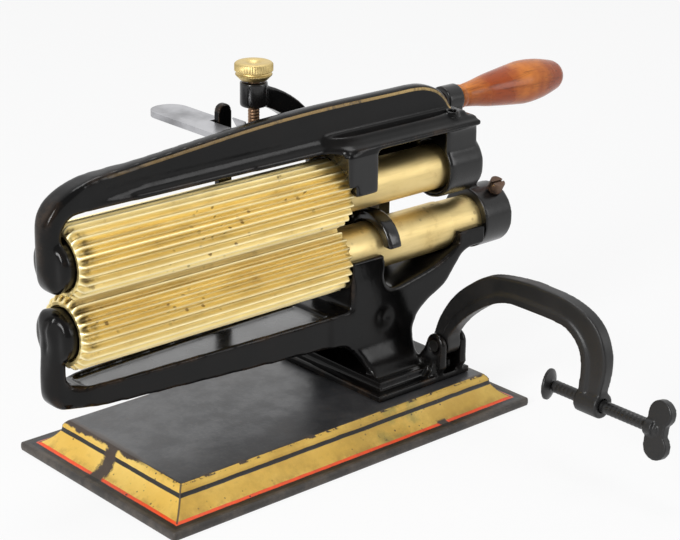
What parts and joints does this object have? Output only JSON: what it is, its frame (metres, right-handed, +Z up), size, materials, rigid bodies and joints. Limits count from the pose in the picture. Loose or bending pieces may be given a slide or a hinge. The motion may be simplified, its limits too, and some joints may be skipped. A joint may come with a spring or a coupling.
{
  "type": "hand-cranked fluting iron",
  "caption": "Hand-cranked table fluting iron: meshed hollow brass rollers in hinged cast-iron frames on a moulded base, with a pressure screw, a lift plate and a swinging table clamp.",
  "frame": {"origin": "centre of the base's flat underside", "axes": "+X along the rollers towards the crank, +Y away from the user's side and the clamp, +Z up"},
  "size_m": [0.2904, 0.1997, 0.1511],
  "materials": {
    "japanned_iron": "glossy black japan over cast iron, worn at the edges",
    "painted_base": "black japan with gilt moulding and a thin vermilion line, worn",
    "brass": "machined and lightly tarnished",
    "steel": "plain, darkened with age",
    "heater_iron": "heat-scaled",
    "varnished_wood": "orange-brown varnish"
  },
  "bodies": {
    "stand": {"base": "painted_base", "base_screws": "steel", "lower_frame": "japanned_iron", "journal_hook": "japanned_iron", "hook_screws": "steel", "guide_post": "japanned_iron", "guide_post_screws": "steel", "hinge_pin": "steel", "pressure_bracket": "japanned_iron", "bracket_screws": "steel", "clamp_pin": "steel"},
    "upper_arm": {"upper_frame": "japanned_iron", "lift_plate": "steel", "lift_plate_screws": "steel", "leaf_spring": "steel", "leaf_screw": "steel"},
    "lower_roll": {"lower_roller": "brass", "lower_trunnion": "steel", "crank": "japanned_iron", "crank_set_screw": "steel", "grip_spindle": "steel"},
    "lower_heater": {"lower_slug": "heater_iron"},
    "upper_roll": {"upper_roller": "brass", "upper_trunnion": "steel", "upper_slug": "heater_iron"},
    "grip": {"grip": "varnished_wood"},
    "thumb_screw": {"thumb_screw": "brass"},
    "clamp": {"clamp_body": "japanned_iron"},
    "clamp_pad": {"clamp_pad": "japanned_iron"},
    "clamp_screw": {"clamp_screw": "japanned_iron"}
  },
  "joints": [
    {"name": "upper_arm_lift", "type": "hinge", "parent": "stand", "child": "upper_arm", "pos_m": [0.057, 0.0144, 0.1178], "axis": [0, 1, 0], "range_deg": [0, 3.2], "stiffness_Nm_per_rad": 8, "springref_deg": -1.15, "deforming": ["leaf_spring"]},
    {"name": "crank_turn", "type": "hinge", "parent": "stand", "child": "lower_roll", "pos_m": [0, 0, 0.0695], "axis": [1, 0, 0], "continuous": true},
    {"name": "upper_roll_turn", "type": "hinge", "parent": "upper_arm", "child": "upper_roll", "pos_m": [0, 0, 0.097], "axis": [1, 0, 0], "continuous": true},
    {"name": "lower_heater_slide", "type": "slide", "parent": "lower_roll", "child": "lower_heater", "axis": [1, 0, 0], "range_m": [0, 0.215]},
    {"name": "grip_spin", "type": "hinge", "parent": "lower_roll", "child": "grip", "pos_m": [0.14, 0.01552, 0.11903], "axis": [1, 0, 0], "continuous": true},
    {"name": "thumb_screw_turn", "type": "hinge", "parent": "stand", "child": "thumb_screw", "pos_m": [0.0014, 0.0205, 0.14], "axis": [0, 0, 1], "range_deg": [-180, 180]},
    {"name": "clamp_swing", "type": "hinge", "parent": "stand", "child": "clamp", "pos_m": [0.066, -0.0286, 0.03], "axis": [1, 0, 0], "range_deg": [-15, 90]},
    {"name": "clamp_pad_slide", "type": "slide", "parent": "clamp", "child": "clamp_pad", "axis": [0, 1, 0], "range_m": [-0.006, 0.018]},
    {"name": "clamp_screw_turn", "type": "hinge", "parent": "clamp_pad", "child": "clamp_screw", "pos_m": [0.066, -0.1, 0.0304], "axis": [0, 1, 0], "range_deg": [-1080, 3240]}
  ],
  "couplings": [
    {"joint": "upper_roll_turn", "follows": "crank_turn", "ratio": -1},
    {"joint": "clamp_screw_turn", "follows": "clamp_pad_slide", "rad_per_m": 3141.6}
  ]
}
